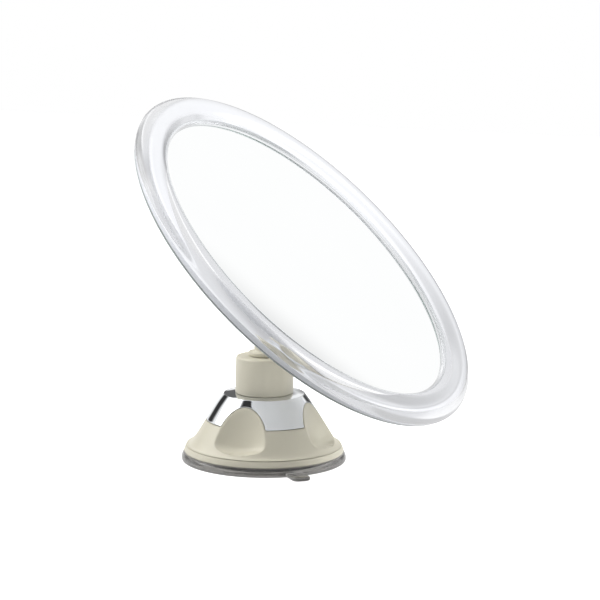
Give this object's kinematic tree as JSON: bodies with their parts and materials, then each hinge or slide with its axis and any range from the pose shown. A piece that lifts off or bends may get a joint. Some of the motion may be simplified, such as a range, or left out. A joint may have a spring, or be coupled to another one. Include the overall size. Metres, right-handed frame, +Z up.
{
  "type": "suction cup magnifying mirror",
  "caption": "Round magnifying mirror in a clear ring, tilting on a swivelling neck above a twist-lock suction base with chrome trim.",
  "frame": {"origin": "on the surface the cup rests on, at the centre of the cup's underside", "axes": "+Z up along the base's axis; -Y is the side the mirror faces; X is the mirror's tilt axis"},
  "size_m": [0.2, 0.1444, 0.1708],
  "materials": {
    "soft_cup": "smooth, slightly see-through soft plastic",
    "cream_plastic": "satin cream moulding",
    "white_plastic": "satin white moulding",
    "chrome": "bright plated",
    "steel": "zinc plated",
    "acetal": "natural white, unpainted",
    "clear_acrylic": "clear and polished",
    "mirror_glass": "silvered, concave at the front",
    "foam": "dark closed-cell foam"
  },
  "bodies": {
    "base": {"suction_cup": "soft_cup", "pressure_plate": "cream_plastic", "thrust_washer": "steel"},
    "stem": {"lift_stem": "acetal", "cross_pin": "steel"},
    "grip": {"twist_grip": "cream_plastic", "chrome_trim": "chrome", "cam_ring": "acetal", "cam_screw_1": "steel", "cam_screw_2": "steel", "cam_screw_3": "steel", "cam_screw_4": "steel", "swivel_housing": "cream_plastic", "housing_screw_1": "steel", "housing_screw_2": "steel", "housing_screw_3": "steel"},
    "neck": {"neck": "cream_plastic", "swivel_friction_washer": "acetal", "swivel_retaining_washer": "steel", "swivel_screw": "steel"},
    "mirror_head": {"acrylic_ring": "clear_acrylic", "mirror_glass": "mirror_glass", "foam_pad": "foam", "back_cover": "white_plastic", "hinge_yoke": "cream_plastic", "yoke_screw_1": "steel", "yoke_screw_2": "steel", "yoke_screw_3": "steel", "yoke_screw_4": "steel", "pivot_screw": "steel", "pivot_nut": "steel", "pivot_spring_washer": "steel", "pivot_washer_left": "acetal", "pivot_washer_right": "acetal"}
  },
  "joints": [
    {"name": "grip_turn", "type": "hinge", "parent": "base", "child": "grip", "pos_m": [0, 0, 0.0074], "axis": [0, 0, -1], "range_deg": [0, 90]},
    {"name": "stem_lift", "type": "slide", "parent": "base", "child": "stem", "axis": [0, 0, 1], "range_m": [0, 0.0025], "deforming": ["suction_cup"]},
    {"name": "neck_swivel", "type": "hinge", "parent": "grip", "child": "neck", "pos_m": [0, 0, 0.0502], "axis": [0, 0, 1], "continuous": true},
    {"name": "mirror_tilt", "type": "hinge", "parent": "neck", "child": "mirror_head", "pos_m": [0, 0, 0.077], "axis": [1, 0, 0], "range_deg": [-106, 17]}
  ],
  "couplings": [
    {"joint": "stem_lift", "follows": "grip_turn", "m_per_rad": 0.0015915}
  ]
}
